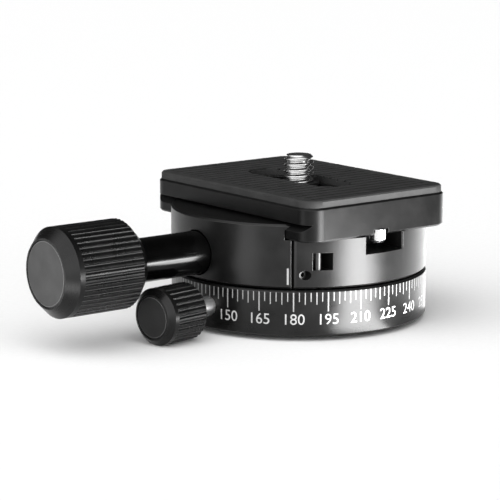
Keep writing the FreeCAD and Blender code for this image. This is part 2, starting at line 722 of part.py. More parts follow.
def make_guide_pins(doc, s):
    """Two steel dowels that keep the moving jaw square."""
    body = new_body(doc, "jaw_guide_pins")
    sketch = new_sketch(body, "guide_pins", SIDE_PLANE, (NONE, NONE, -s.guide_pin_end))
    for side in (-s.guide_pin_offset, s.guide_pin_offset):
        draw_circle(sketch, side, s.axis_z, s.guide_pin_dia / 2)
    pad(body, sketch, s.guide_pin_end - s.guide_pin_inner)


def make_window_stop_pin(doc, s):
    """The bright steel pin that crosses the window."""
    body = new_body(doc, "window_stop_pin")
    low = s.axis_z - s.window_height / 2 - s.stop_pin_overlap
    sketch = new_sketch(body, "stop_pin", TOP_PLANE, (NONE, NONE, low))
    draw_circle(sketch, -s.stop_pin_x, -s.stop_pin_y, s.stop_pin_dia / 2)
    pad(body, sketch, s.window_height + s.stop_pin_overlap * 2)


def make_index_grub_screw(doc, s):
    """The small headless screw beside the index mark."""
    body = new_body(doc, "index_grub_screw")
    sketch = new_sketch(body, "grub", FRONT_PLANE, (NONE, NONE, s.grub_end - s.grub_length))
    draw_circle(sketch, -s.grub_offset, s.clamp_z + s.grub_rise, s.grub_dia / 2)
    pad(body, sketch, s.grub_length)


def make_moving_jaw(doc, s):
    """The sliding segment of the clamp that the knob draws in."""
    body = new_body(doc, "moving_jaw")
    add_puck(body, s)
    sketch = new_sketch(body, "jaw_profile", FRONT_PLANE)
    low = s.clamp_z - s.cut_over
    high = s.clamp_top + s.cut_over
    shelf = s.floor_z - s.jaw_step_clear
    draw_polygon(sketch, [
        (-s.jaw_face, low),
        (-s.jaw_face, shelf),
        (-s.groove_half, shelf),
        (-s.groove_half, s.wall_top),
        (-s.jaw_face, s.clamp_top),
        (-s.jaw_face, high),
        (s.far, high),
        (s.far, low),
    ])
    pocket_both_ways(body, sketch, s.far * 2)
    bevel_upright_rim(doc, body, s)
    cut_jaw_holes(body, s)


def cut_jaw_holes(body, s):
    """Clamp screw hole with its two counterbores, and the guide pin holes."""
    screw = new_sketch(body, "screw_hole", SIDE_PLANE)
    draw_circle(screw, NONE, s.axis_z, s.clamp_screw_r + s.hole_clear)
    pocket(body, screw, s.far)
    clip = new_sketch(body, "clip_counterbore", SIDE_PLANE)
    clip_r = s.clamp_screw_r - s.clip_groove + s.clip_width + s.run_clear
    draw_circle(clip, NONE, s.axis_z, clip_r)
    pocket(body, clip, s.jaw_clip_z + s.clip_thick + s.play)
    seat = new_sketch(body, "shank_seat", SIDE_PLANE, (NONE, NONE, -s.knob_seat))
    draw_circle(seat, NONE, s.axis_z, s.shank_r + s.hole_clear)
    pocket(body, seat, s.far - s.knob_seat)
    pins = new_sketch(body, "jaw_pin_holes", SIDE_PLANE)
    for side in (-s.guide_pin_offset, s.guide_pin_offset):
        draw_circle(pins, side, s.axis_z, s.guide_pin_dia / 2 + s.play)
    pocket(body, pins, s.guide_pin_end + s.pin_end_clear)


def make_knob_washer(doc, s):
    """The thrust washer between the knob's shank and the jaw."""
    body = make_washer(doc, "knob_thrust_washer", s.clamp_screw_r + s.hole_clear, s.shank_r,
                       s.knob_seat, s.knob_seat + s.knob_washer_thick)
    lay_on_clamp_axis(body, s)


def make_clamp_screw(doc, s):
    """The steel screw of the clamp, with a groove for its clip."""
    body = new_body(doc, "clamp_screw")
    sketch = new_sketch(body, "clamp_screw_section", FRONT_PLANE)
    neck = s.clamp_screw_r - s.clip_groove
    draw_polygon(sketch, [
        (NONE, s.clamp_screw_inner),
        (s.clamp_screw_r, s.clamp_screw_inner),
        (s.clamp_screw_r, s.jaw_clip_z),
        (neck, s.jaw_clip_z),
        (neck, s.jaw_clip_z + s.clip_thick),
        (s.clamp_screw_r, s.jaw_clip_z + s.clip_thick),
        (s.clamp_screw_r, s.knob_start + s.clamp_screw_in_knob),
        (NONE, s.knob_start + s.clamp_screw_in_knob),
    ])
    revolve(body, sketch)
    lay_on_clamp_axis(body, s)


def make_screw_clip(doc, s):
    """The clip by which the screw draws the jaw open."""
    neck = s.clamp_screw_r - s.clip_groove
    body = make_washer(doc, "screw_retaining_clip", neck, neck + s.clip_width,
                       s.jaw_clip_z, s.jaw_clip_z + s.clip_thick)
    lay_on_clamp_axis(body, s)


def make_knob_shank(doc, s):
    """The glossy black shank between the knob and the jaw."""
    body = make_washer(doc, "knob_shank", s.clamp_screw_r, s.shank_r, s.shank_start, s.knob_start)
    lay_on_clamp_axis(body, s)


def cut_ribs(body, radius, low, high, count, s):
    """Round-bottomed grooves along a knob's grip."""
    sketch = new_sketch(body, body.Name + "_rib", TOP_PLANE, (NONE, NONE, high))
    centre = radius - s.rib_depth + s.rib_dia / 2
    draw_circle(sketch, centre, NONE, s.rib_dia / 2)
    repeat_round(body, pocket(body, sketch, high - low), count)


def make_clamp_knob(doc, s):
    """The ribbed grip of the clamp knob."""
    body = new_body(doc, "clamp_knob")
    sketch = new_sketch(body, "clamp_knob_section", FRONT_PLANE)
    shoulder = s.knob_end - s.knob_shoulder
    seat = s.knob_end - s.disc_depth
    draw_polygon(sketch, [
        (s.clamp_screw_r, s.knob_start),
        (s.knob_neck_dia / 2, s.knob_start),
        (s.knob_r, s.knob_start + s.knob_neck_taper),
        (s.knob_r, shoulder),
        (s.face_r + s.knob_rim, s.knob_end),
        (s.face_r, s.knob_end),
        (s.face_r, seat),
        (s.clamp_screw_r, seat),
    ])
    revolve(body, sketch)
    cut_ribs(body, s.knob_r, s.knob_start, shoulder - s.rib_margin, s.rib_count, s)
    lay_on_clamp_axis(body, s)


def make_disc(doc, name, radius, end, s):
    """A flat end disc with a bevelled rim, set into a knob."""
    body = new_body(doc, name)
    sketch = new_sketch(body, name + "_section", FRONT_PLANE)
    draw_polygon(sketch, [
        (NONE, end - s.disc_depth),
        (radius, end - s.disc_depth),
        (radius, end - s.disc_bevel),
        (radius - s.disc_bevel, end),
        (NONE, end),
    ])
    revolve(body, sketch)
    return body


def make_knob_end_disc(doc, s):
    """The grey disc on the clamp knob's outer end."""
    body = make_disc(doc, "knob_end_disc", s.face_r, s.knob_end, s)
    lay_on_clamp_axis(body, s)


def make_lock_shoe(doc, s):
    """The brass plug that the lock screw presses on the spindle's flange."""
    body = new_body(doc, "lock_shoe")
    sketch = new_sketch(body, "shoe_section", FRONT_PLANE)
    draw_box(sketch, NONE, s.lock_screw_r - s.play, s.shoe_start, s.shoe_end)
    revolve(body, sketch)
    lay_on_lock_axis(body, s)


def make_lock_screw(doc, s):
    """The polished lock screw."""
    body = new_body(doc, "lock_screw")
    sketch = new_sketch(body, "lock_screw_section", FRONT_PLANE)
    draw_box(sketch, NONE, s.lock_screw_r, s.shoe_end, s.lock_start + s.lock_screw_in_knob)
    revolve(body, sketch)
    lay_on_lock_axis(body, s)


def make_lock_knob(doc, s):
    """The small ribbed knob that locks the rotation."""
    body = new_body(doc, "lock_knob")
    sketch = new_sketch(body, "lock_knob_section", FRONT_PLANE)
    seat = s.lock_end - s.disc_depth
    draw_polygon(sketch, [
        (s.lock_screw_r, s.lock_start),
        (s.lock_r - s.lock_knob_bevel, s.lock_start),
        (s.lock_r, s.lock_start + s.lock_knob_bevel),
        (s.lock_r, s.lock_end - s.lock_knob_bevel),
        (s.lock_face_r + s.knob_rim, s.lock_end),
        (s.lock_face_r, s.lock_end),
        (s.lock_face_r, seat),
        (s.lock_screw_r, seat),
    ])
    revolve(body, sketch)
    margin = s.lock_knob_bevel + s.lock_rib_margin
    cut_ribs(body, s.lock_r, s.lock_start, s.lock_end - margin, s.lock_rib_count, s)
    lay_on_lock_axis(body, s)


def make_lock_knob_disc(doc, s):
    """The disc on the lock knob's outer end."""
    body = make_disc(doc, "lock_knob_disc", s.lock_face_r, s.lock_end, s)
    lay_on_lock_axis(body, s)


def draw_side_notch(sketch, side, s):
    """The 45 degree notch on one long side of the plate."""
    edge = s.plate_half * side
    draw_polygon(sketch, [
        (edge, s.notch_z),
        (edge - s.notch_size * side, s.notch_top),
        (edge + s.cut_over * side, s.notch_top),
        (edge + s.cut_over * side, s.notch_z),
    ])


def cut_stop_screw_seats(body, s):
    """Half-open notches at both ends of the plate with a threaded hole above."""
    notch = new_sketch(body, "stop_screw_notch", TOP_PLANE, (NONE, NONE, s.plate_z))
    radius = s.stop_screw_r + s.stop_screw_clear
    draw_box(notch, -radius, radius, -s.plate_reach - s.cut_over, -s.stop_screw_y)
    mirror(body, pocket(body, notch, s.stop_screw_sink + s.play, upward=True), FRONT_PLANE)
    bore = new_sketch(body, "stop_screw_counterbore", TOP_PLANE, (NONE, NONE, s.plate_z))
    draw_circle(bore, NONE, -s.stop_screw_y, radius)
    mirror(body, pocket(body, bore, s.stop_screw_sink + s.play, upward=True), FRONT_PLANE)
    hole = new_sketch(body, "stop_screw_hole", TOP_PLANE, (NONE, NONE, s.plate_z))
    draw_circle(hole, NONE, -s.stop_screw_y, s.stop_screw_stem_dia / 2)
    depth = s.stop_screw_sink + s.stop_screw_stem + s.play
    mirror(body, pocket(body, hole, depth, upward=True), FRONT_PLANE)


def make_plate_body(doc, s):
    """The quick-release plate with its side notches, camera slot and recess."""
    body = new_body(doc, "plate_body")
    outline = new_sketch(body, "plate_outline", TOP_PLANE, (NONE, NONE, s.plate_z))
    draw_box(outline, -s.plate_half, s.plate_half, -s.plate_reach, s.plate_reach)
    block = round_corners(doc, body, pad(body, outline, s.plate_height), s.plate_corner)
    rims = edges_at_height(block.Shape, s.plate_z.mm) + edges_at_height(block.Shape, s.plate_top.mm)
    bevel_edges(body, block, rims, s.plate_bevel)
    notches = new_sketch(body, "side_notches", FRONT_PLANE)
    draw_side_notch(notches, -1, s)
    draw_side_notch(notches, 1, s)
    pocket_both_ways(body, notches, s.plate_reach * 2 + s.cut_over)
    recess = new_sketch(body, "head_recess", TOP_PLANE, (NONE, NONE, s.plate_z))
    draw_slot(recess, s.camera_travel, s.camera_head_dia / 2 + s.recess_clear)
    pocket(body, recess, s.camera_recess_depth, upward=True)
    slot = new_sketch(body, "camera_slot", TOP_PLANE, (NONE, NONE, s.plate_z))
    draw_slot(slot, s.camera_travel, s.camera_slot_r)
    pocket(body, slot, s.plate_height, upward=True)
    cut_stop_screw_seats(body, s)


def make_plate_pad(doc, s):
    """The rubber pad on the plate, open along the camera screw's slot."""
    body = new_body(doc, "plate_pad")
    outline = new_sketch(body, "pad_outline", TOP_PLANE, (NONE, NONE, s.plate_top))
    half = s.plate_half - s.pad_inset
    end = s.plate_reach - s.pad_inset
    draw_box(outline, -half, half, -end, end)
    corner = s.plate_corner - s.pad_inset
    block = round_corners(doc, body, pad(body, outline, s.pad_thick), corner)
    bevel_edges(body, block, edges_at_height(block.Shape, s.pad_top.mm), s.pad_bevel)
    slot = new_sketch(body, "pad_slot", TOP_PLANE, (NONE, NONE, s.plate_top))
    draw_slot(slot, s.camera_travel, s.camera_clip_r + s.run_clear)
    pocket(body, slot, s.pad_thick, upward=True)


def make_plate_stop_screws(doc, s):
    """Two small screws under the plate's ends that keep it from sliding out."""
    body = new_body(doc, "plate_stop_screws")
    sketch = new_sketch(body, "stop_screw", FRONT_PLANE, (NONE, NONE, s.stop_screw_y))
    stem = s.stop_screw_stem_dia / 2
    low = s.plate_z - s.stop_screw_drop
    high = s.plate_z + s.stop_screw_sink
    draw_polygon(sketch, [
        (NONE, low),
        (s.stop_screw_r - s.stop_screw_dome, low),
        (s.stop_screw_r, low + s.stop_screw_dome),
        (s.stop_screw_r, high),
        (stem, high),
        (stem, high + s.stop_screw_stem),
        (NONE, high + s.stop_screw_stem),
    ])
    mirror(body, revolve(body, sketch), FRONT_PLANE)


def make_camera_screw(doc, s):
    """The captive camera screw with its slotted head."""
    body = new_body(doc, "camera_screw")
    sketch = new_sketch(body, "camera_screw_section", FRONT_PLANE)
    head_top = s.recess_top - s.play
    head_low = head_top - s.camera_head_height
    clip_top = s.plate_top + s.clip_thick + s.play * 2
    draw_polygon(sketch, [
        (NONE, head_low),
        (s.camera_head_dia / 2, head_low),
        (s.camera_head_dia / 2, head_top),
        (s.camera_screw_r, head_top),
        (s.camera_screw_r, s.plate_top),
        (s.camera_neck_r, s.plate_top),
        (s.camera_neck_r, clip_top),
        (s.camera_screw_r, clip_top),
        (s.camera_screw_r, s.pad_top + s.camera_screw_rise),
        (NONE, s.pad_top + s.camera_screw_rise),
    ])
    revolve(body, sketch)
    slot = new_sketch(body, "coin_slot", TOP_PLANE, (NONE, NONE, head_low))
    draw_box(slot, -s.camera_head_dia, s.camera_head_dia, -s.driver_slot / 2, s.driver_slot / 2)
    pocket(body, slot, s.driver_slot, upward=True)


def make_camera_screw_clip(doc, s):
    """The clip that keeps the camera screw in the plate and slides with it."""
    clip_z = s.plate_top + s.play
    make_washer(doc, "camera_screw_clip", s.camera_neck_r + s.play, s.camera_clip_r, clip_z,
                clip_z + s.clip_thick)


MAKERS = [
    make_base_housing,
    make_thread_bushing,
    make_bearing_washers,
    make_retaining_ring,
    make_retaining_ring_screws,
    make_spindle,
    make_spindle_screws,
    make_clamp_body,
    make_guide_pins,
    make_window_stop_pin,
    make_index_grub_screw,
    make_moving_jaw,
    make_knob_washer,
    make_clamp_screw,
    make_screw_clip,
    make_knob_shank,
    make_clamp_knob,
    make_knob_end_disc,
    make_lock_shoe,
    make_lock_screw,
    make_lock_knob,
    make_lock_knob_disc,
    make_plate_body,
    make_plate_pad,
    make_plate_stop_screws,
    make_camera_screw,
    make_camera_screw_clip,
]


def check(doc):
    """Stop if anything in the document failed to build."""
    for item in doc.Objects:
        if "Invalid" in item.State or "Error" in item.State:
            raise RuntimeError(item.Name + " did not build: " + str(item.State))
    for body in doc.findObjects("PartDesign::Body"):
        if body.Shape.isNull() or not body.Shape.isValid() or not body.Shape.Solids:
            raise RuntimeError(body.Label + " has no valid shape")


def export(doc):
    """Write one STEP file for each sub-part."""
    for body in doc.findObjects("PartDesign::Body"):
        body.Shape.exportStep("parts/" + body.Label + ".step")


def main():
    """Build the document, check it and export it."""
    os.makedirs("parts", exist_ok=True)
    doc = FreeCAD.newDocument("panoramic_head")
    sizes = add_sheet(doc)
    doc.recompute()
    for derive in (add_base_levels, add_clamp_levels, add_plate_levels, add_knob_levels):
        derive(sizes)
    for make in MAKERS:
        make(doc, sizes)
    doc.recompute()
    check(doc)
    export(doc)


main()
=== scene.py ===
import math
from typing import NamedTuple

import bmesh
import bpy
from mathutils import Matrix, Vector


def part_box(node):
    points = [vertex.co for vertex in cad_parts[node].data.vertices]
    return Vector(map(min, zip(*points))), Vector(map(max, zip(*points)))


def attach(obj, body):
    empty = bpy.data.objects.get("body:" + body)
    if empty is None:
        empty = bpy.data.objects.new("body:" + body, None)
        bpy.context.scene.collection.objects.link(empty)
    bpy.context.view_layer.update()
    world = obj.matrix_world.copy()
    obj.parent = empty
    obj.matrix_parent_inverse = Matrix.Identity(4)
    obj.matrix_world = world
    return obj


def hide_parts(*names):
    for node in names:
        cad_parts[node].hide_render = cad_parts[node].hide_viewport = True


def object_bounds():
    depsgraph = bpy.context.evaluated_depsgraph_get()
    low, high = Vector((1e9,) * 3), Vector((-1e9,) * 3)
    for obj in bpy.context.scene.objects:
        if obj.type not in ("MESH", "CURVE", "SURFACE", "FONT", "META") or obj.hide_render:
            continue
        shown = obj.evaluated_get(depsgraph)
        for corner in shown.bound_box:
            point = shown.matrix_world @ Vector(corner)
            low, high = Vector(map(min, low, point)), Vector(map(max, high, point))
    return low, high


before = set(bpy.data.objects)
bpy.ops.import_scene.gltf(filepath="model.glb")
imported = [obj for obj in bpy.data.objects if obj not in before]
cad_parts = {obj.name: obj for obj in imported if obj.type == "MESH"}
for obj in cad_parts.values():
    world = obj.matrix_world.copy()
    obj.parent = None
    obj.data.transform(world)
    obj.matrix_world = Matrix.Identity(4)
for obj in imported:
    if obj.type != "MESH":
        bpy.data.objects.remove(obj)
cad_low, cad_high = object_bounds()

# A panoramic tripod head. Metres. Z is up, the ring stands on its bottom face at the origin,
# the clamp knob points to -X and the plate's groove runs along Y.

MM = 0.001

# The dial. Angles are azimuths about Z in degrees, from +X towards +Y.
DIAL_STEPS = 144
STEP_DEG = 2.5
MEDIUM_EVERY = 2
MAJOR_EVERY = 6
ZERO_AZIMUTH = -311.2
MARK_LIFT = 0.015 * MM
MARK_ROOT = 0.05 * MM
MARK_WIDTH = 0.2 * MM
MAJOR_WIDTH = 0.27 * MM
MINOR_LENGTH = 1.9 * MM
MEDIUM_LENGTH = 2.5 * MM
MAJOR_LENGTH = 4.0 * MM
RING_BEVEL = 0.4 * MM

# The dial's numbers. The digits' height is a share of the font's size.
NUMBER_HEIGHT = 2.3 * MM
NUMBER_GAP = 0.4 * MM
DIGIT_SHARE = 0.72
DIGIT_CURVE_STEPS = 4
WELD_DISTANCE = 0.0005 * MM

# The index line on the jaw.
INDEX_AZIMUTH = -133.7
INDEX_WIDTH = 0.4 * MM
INDEX_LENGTH = 3.4 * MM
INDEX_RISE = 0.45 * MM

# The camera screw: 1/4 inch with 20 threads to the inch, a flat head and a coin slot.
ROUND_STEPS = 96
SCREW_PITCH = 1.27 * MM
SCREW_RADIUS = 3.175 * MM
SCREW_ROOT_RADIUS = 2.5 * MM
SCREW_HEAD_HEIGHT = 2.9 * MM
SCREW_HEAD_EDGE = 0.25 * MM
SCREW_NECK_STEP = 0.5 * MM
COIN_SLOT_HALF = 0.75 * MM
COIN_SLOT_DEPTH = 1.5 * MM

# The thread's form: rows of points, how steep its sides are and how wide its crest is.
THREAD_ROWS_PER_TURN = 14
THREAD_START = 0.02 * MM
THREAD_STEEPNESS = 2.6
THREAD_CREST = 0.15
TIP_CHAMFER = 0.6 * MM
TIP_SHARE = 0.98

# The grub screw's hexagon socket, and how far a cutting solid reaches past a piece.
GRUB_SOCKET_RADIUS = 0.55 * MM
GRUB_SOCKET_DEPTH = 1.1 * MM
CUT_PAST = 1 * MM

# The pad's grooves.
PAD_GROOVES = 21
PAD_GROOVE_WIDTH = 0.7 * MM
PAD_GROOVE_DEPTH = 0.45 * MM
PAD_BORDER = 2.4 * MM

# Sizes and axes that are read from the solids.
RING_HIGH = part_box("base_housing")[1]
CLAMP_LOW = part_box("clamp_body")[0]
KNOB_LOW, KNOB_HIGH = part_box("clamp_knob")
LOCK_LOW, LOCK_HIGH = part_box("lock_knob")
RING_RADIUS = RING_HIGH.x
KNOB_AXIS_Z = (KNOB_LOW.z + KNOB_HIGH.z) / 2
LOCK_AXIS_Z = (LOCK_LOW.z + LOCK_HIGH.z) / 2
LOCK_YAW = math.radians(8.0)

# What the finishes share: the range that most of a noise lies in, scales per metre, the depth of
# the bumps, and how far patches lighten and darken a colour.
NOISE_LOW = 0.3
NOISE_HIGH = 0.7
GRAIN_SCALE = 16000.0
TOOL_SCALE = 5200.0
PATCH_SCALE = 260.0
BUMP_DEPTH = 0.02 * MM
PATCH_DARK = 0.86
PATCH_LIGHT = 1.14
BEVEL_SAMPLES = 6
# How strongly sharp edges are lightened, partly as wear and partly as a painted highlight.
EDGE_GAIN = 2.4

# The floor, and the height of the lit panels over it.
FLOOR_HALF = 6.0
FLOOR_DROP = 0.02 * MM
PANEL_LIFT = 0.2 * MM

# The strip that the front of the clamp mirrors: the azimuths of its foot and its run, and how far
# from the ring its narrow part starts, its wide part starts and it ends.
STRIP_FOOT_DEG = -102.0
STRIP_RUN_DEG = -75.0
STRIP_START = 5 * MM
STRIP_STEP = 45 * MM
STRIP_END = 320 * MM
STRIP_NARROW = 20 * MM
STRIP_WIDE = 52 * MM

# The room's light: the direction of its bright side, both strengths, and the lean towards the bright
# side from which it is fully bright.
ROOM_BRIGHT_SIDE = (-0.80, -0.48, 0.36)
ROOM_BRIGHT = 2.55
ROOM_DARK = 0.05
ROOM_BRIGHT_LEAN = 0.6

# Camera, from the fit of the photograph.
CAMERA_PLACE = Vector((-0.2946, -0.3615, 0.1028))
CAMERA_AIM = Vector((-0.0133, 0.0, 0.0145))
CAMERA_LENS = 158.0
CAMERA_SENSOR = 36.0


class Net:
    """The node tree of one material, with short calls to add to it."""

    def __init__(self, name):
        self.material = bpy.data.materials.new(name)
        self.material.use_nodes = True
        self.tree = self.material.node_tree
        self.shader = self.tree.nodes["Principled BSDF"]

    def feed(self, socket, value):
        """Link an output to the socket, or set a constant."""
        if isinstance(value, bpy.types.NodeSocket):
            self.tree.links.new(value, socket)
        else:
            socket.default_value = value

    def node(self, kind, settings=None, **inputs):
        """Add a node and return its first output."""
        made = self.tree.nodes.new("ShaderNode" + kind)
        for key, value in (settings or {}).items():
            setattr(made, key, value)
        for key, value in inputs.items():
            self.feed(made.inputs[key.replace("_", " ")], value)
        return made.outputs[0]

    def maths(self, operation, *values, clamp=False):
        """A Math node on numbers or outputs."""
        made = self.tree.nodes.new("ShaderNodeMath")
        made.operation = operation
        made.use_clamp = clamp
        for place, value in enumerate(values):
            self.feed(made.inputs[place], value)
        return made.outputs[0]

    def vector(self, operation, *values):
        """A Vector Math node, whose value output is returned for a length or a dot product."""
        made = self.tree.nodes.new("ShaderNodeVectorMath")
        made.operation = operation
        for place, value in enumerate(values):
            self.feed(made.inputs[place], value)
        return made.outputs["Value" if operation in ("LENGTH", "DOT_PRODUCT") else "Vector"]

    def place(self):
        """The point on the object, in metres."""
        return self.tree.nodes.new("ShaderNodeTexCoord").outputs["Object"]

    def remap(self, value, low, high, new_low, new_high):
        """Stretch a value from one range to another."""
        made = self.tree.nodes.new("ShaderNodeMapRange")
        self.feed(made.inputs["Value"], value)
        ends = {"From Min": low, "From Max": high, "To Min": new_low, "To Max": new_high}
        for name, number in ends.items():
            made.inputs[name].default_value = number
        return made.outputs["Result"]

    def spread(self, noise, low, high):
        """Stretch the range that most of a noise lies in to another."""
        return self.remap(noise, NOISE_LOW, NOISE_HIGH, low, high)

    def mix(self, factor, first, second):
        """Blend two colours."""
        # The node's colour sockets share their names with others, so they are taken by number.
        made = self.tree.nodes.new("ShaderNodeMix")
        made.data_type = "RGBA"
        self.feed(made.inputs["Factor"], factor)
        self.feed(made.inputs[6], first)
        self.feed(made.inputs[7], second)
        return made.outputs[2]

    def noise(self, scale, detail, roughness=0.5, at=None):
        """Noise of a scale per metre, on the object unless another place is given."""
        place = self.place() if at is None else at
        return self.node("TexNoise", None, Vector=place, Scale=scale, Detail=detail, Roughness=roughness)

    def rounded(self, radius):
        """The normal, as if the edges had a small radius."""
        return self.node("Bevel", {"samples": BEVEL_SAMPLES}, Radius=radius)

    def bump(self, strength, depth, height, **normal):
        """A bumped normal, from the piece's own or from the one that is given."""
        return self.node("Bump", None, Strength=strength, Distance=depth, Height=height, **normal)

    def set(self, **values):
        """Set the surface shader's own sockets."""
        for key, value in values.items():
            self.feed(self.shader.inputs[key.replace("_", " ")], value)


def grey(value):
    """A grey as a colour."""
    return (value, value, value, 1.0)


class Look(NamedTuple):
    """The colour, the lighter edge colour that stands for wear and a painted edge highlight, the
    strength of grain and tool lines, and the shader's numbers.
    """

    colour: tuple
    worn: tuple
    grain: float
    lines: float
    rounding: float
    roughness: float
    roughness_spread: float
    metallic: float = 1.0
    specular: float = 0.5


RING_LOOK = Look(
    grey(0.018), grey(0.10), grain=0.08, lines=0.08, rounding=0.12 * MM,
    roughness=0.30, roughness_spread=0.03, metallic=0.8, specular=0.4)
CLAMP_LOOK = Look(
    grey(0.018), grey(0.12), grain=0.10, lines=0.10, rounding=0.12 * MM,
    roughness=0.32, roughness_spread=0.03, metallic=0.8, specular=0.4)
PLATE_LOOK = Look(
    grey(0.009), grey(0.08), grain=0.25, lines=0.15, rounding=0.15 * MM,
    roughness=0.36, roughness_spread=0.04, metallic=0.75, specular=0.25)
KNOB_LOOK = Look(
    grey(0.016), grey(0.10), grain=0.08, lines=0.08, rounding=0.1 * MM,
    roughness=0.30, roughness_spread=0.04, metallic=0.8, specular=0.4)
SHANK_LOOK = Look(
    grey(0.014), grey(0.08), grain=0.01, lines=0.015, rounding=0.08 * MM,
    roughness=0.15, roughness_spread=0.02, metallic=0.95, specular=0.3)
# The discs' pale edge colour paints the highlight on their rims.
DISC_LOOK = Look(
    grey(0.042), grey(0.5), grain=0.16, lines=0.12, rounding=0.22 * MM,
    roughness=0.6, roughness_spread=0.04, metallic=0.0, specular=0.12)
LOCK_DISC_LOOK = DISC_LOOK._replace(colour=grey(0.015))
STEEL_LOOK = Look(
    grey(0.5), grey(0.8), grain=0.006, lines=0.004, rounding=0.08 * MM,
    roughness=0.26, roughness_spread=0.02)
BLACK_SCREW_LOOK = Look(
    grey(0.05), grey(0.25), grain=0.08, lines=0.04, rounding=0.06 * MM,
    roughness=0.4, roughness_spread=0.06, metallic=0.9)
ALUMINIUM_LOOK = Look(
    grey(0.6), grey(0.75), grain=0.08, lines=0.1, rounding=0.1 * MM,
    roughness=0.3, roughness_spread=0.05)
BRASS_LOOK = Look(
    (0.62, 0.42, 0.16, 1.0), grey(0.7), grain=0.06, lines=0.09, rounding=0.08 * MM,
    roughness=0.28, roughness_spread=0.05)
PLASTIC_LOOK = Look(
    grey(0.6), grey(0.7), grain=0.2, lines=0.1, rounding=0.08 * MM,
    roughness=0.5, roughness_spread=0.05, metallic=0.0)


def turned(axis, centre_z=0.0, yaw=0.0):
    """Where tool lines go on a turned piece: noise at this place makes rings round its axis."""

    def rings(net):
        shifted = net.vector("SUBTRACT", net.place(), (0.0, 0.0, centre_z))
        level = net.node("VectorRotate", {"rotation_type": "Z_AXIS"}, Vector=shifted, Angle=-yaw)
        across = (1.0, 1.0, 0.0) if axis == "Z" else (0.0, 1.0, 1.0)
        radius = net.vector("LENGTH", net.vector("MULTIPLY", level, across))
        split = net.tree.nodes.new("ShaderNodeSeparateXYZ")
        net.tree.links.new(level, split.inputs[0])
        return net.node("CombineXYZ", None, X=radius, Y=0.0, Z=split.outputs[axis])

    return rings


def edge_share(net, radius):
    """One on a sharp edge and none on flat ground, from how far the bevelled normal leans; it places the
    edges' wear and painted highlight.
    """
    geometry = net.tree.nodes.new("ShaderNodeNewGeometry")
    straight = net.vector("DOT_PRODUCT", net.rounded(radius), geometry.outputs["Normal"])
    return net.maths("MULTIPLY", net.maths("SUBTRACT", 1.0, straight), EDGE_GAIN, clamp=True)


def machined_finish(name, look, tooling=Net.place):
    """A machined surface with grain, tool lines, edges lightened by wear and a painted highlight, and
    rounded corners.
    """
    net = Net(name)
    ground = net.noise(GRAIN_SCALE, detail=3.0)
    tool = net.noise(TOOL_SCALE, detail=3.0, roughness=0.6, at=tooling(net))
    patchy = net.noise(PATCH_SCALE, detail=3.0)
    grained = net.bump(look.grain, BUMP_DEPTH, ground, Normal=net.rounded(look.rounding))
    tint = net.vector("SCALE", look.colour[:3])
    net.feed(tint.node.inputs["Scale"], net.spread(patchy, PATCH_DARK, PATCH_LIGHT))
    swing = look.roughness_spread
    streaks = net.spread(tool, look.roughness - swing, look.roughness + swing)
    net.set(
        # The edges' lighter colour is partly wear and partly a painted highlight along the edges.
        Base_Color=net.mix(edge_share(net, look.rounding), tint, look.worn),
        Normal=net.bump(look.lines, BUMP_DEPTH, tool, Normal=grained),
        Roughness=net.maths("ADD", streaks, net.spread(patchy, -swing, swing)),
        Metallic=look.metallic,
        Specular_IOR_Level=look.specular)
    return net.material


def steel_finish(name, value, roughness):
    """Bare or polished steel with faint drawing lines."""
    return machined_finish(name, STEEL_LOOK._replace(colour=grey(value), roughness=roughness))


def rubber_finish():
    """Soft black rubber of the pad, dull, with a fine grain."""
    net = Net("pad_rubber")
    fine = net.noise(9000.0, detail=5.0, roughness=0.65)
    dust = net.remap(net.noise(300.0, detail=4.0), 0.35, 0.75, 0.0, 0.5)
    net.set(
        Base_Color=net.mix(dust, grey(0.012), grey(0.028)),
        Normal=net.bump(0.5, 0.03 * MM, fine, Normal=net.rounded(0.12 * MM)),
        Roughness=net.spread(fine, 0.62, 0.86),
        Specular_IOR_Level=0.35)
    return net.material


def paint_finish(name, value):
    """Pale fill of the engraved marks and numbers."""
    net = Net(name)
    fine = net.noise(12000.0, detail=4.0)
    faded = net.remap(net.noise(1500.0, detail=3.0), 0.3, 0.8, 0.0, 1.0)
    net.set(
        Base_Color=net.mix(faded, grey(value), grey(value * 0.75)),
        Normal=net.bump(0.3, 0.01 * MM, fine),
        Roughness=net.spread(fine, 0.5, 0.7))
    return net.material


def floor_finish():
    """Plain pale paper with a faint grain."""
    net = Net("pale_floor")
    fine = net.noise(900.0, detail=4.0)
    net.set(
        Base_Color=net.mix(net.remap(fine, 0.2, 0.8, 0.0, 1.0), grey(0.8), grey(0.84)),
        Roughness=net.spread(fine, 0.75, 0.9),
        Specular_IOR_Level=0.2)
    return net.material


def dress(names, material):
    """Give CAD nodes a finish."""
    for name in names:
        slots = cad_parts[name].data.materials
        slots.clear()
        slots.append(material)


def add_object(name, data):
    """A new object in the scene."""
    obj = bpy.data.objects.new(name, data)
    bpy.context.scene.collection.objects.link(obj)
    return obj


def piece_from(name, mesh, material, body):
    """A scene piece that rides on a body."""
    obj = add_object(name, mesh)
    mesh.materials.clear()
    mesh.materials.append(material)
    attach(obj, body)
    return obj


def mesh_from(name, work):
    """Turn an edited mesh into mesh data with outward normals."""
    bmesh.ops.recalc_face_normals(work, faces=work.faces)
    mesh = bpy.data.meshes.new(name)
    work.to_mesh(mesh)
    work.free()
    return mesh


def evaluated_mesh(obj):
    """The mesh that an object shows, with its modifiers."""
    graph = bpy.context.evaluated_depsgraph_get()
    return bpy.data.meshes.new_from_object(obj.evaluated_get(graph))


def on_ring(azimuth, height, radius):
    """A point at an azimuth in radians, a height and a radius."""
    return Vector((radius * math.cos(azimuth), radius * math.sin(azimuth), height))


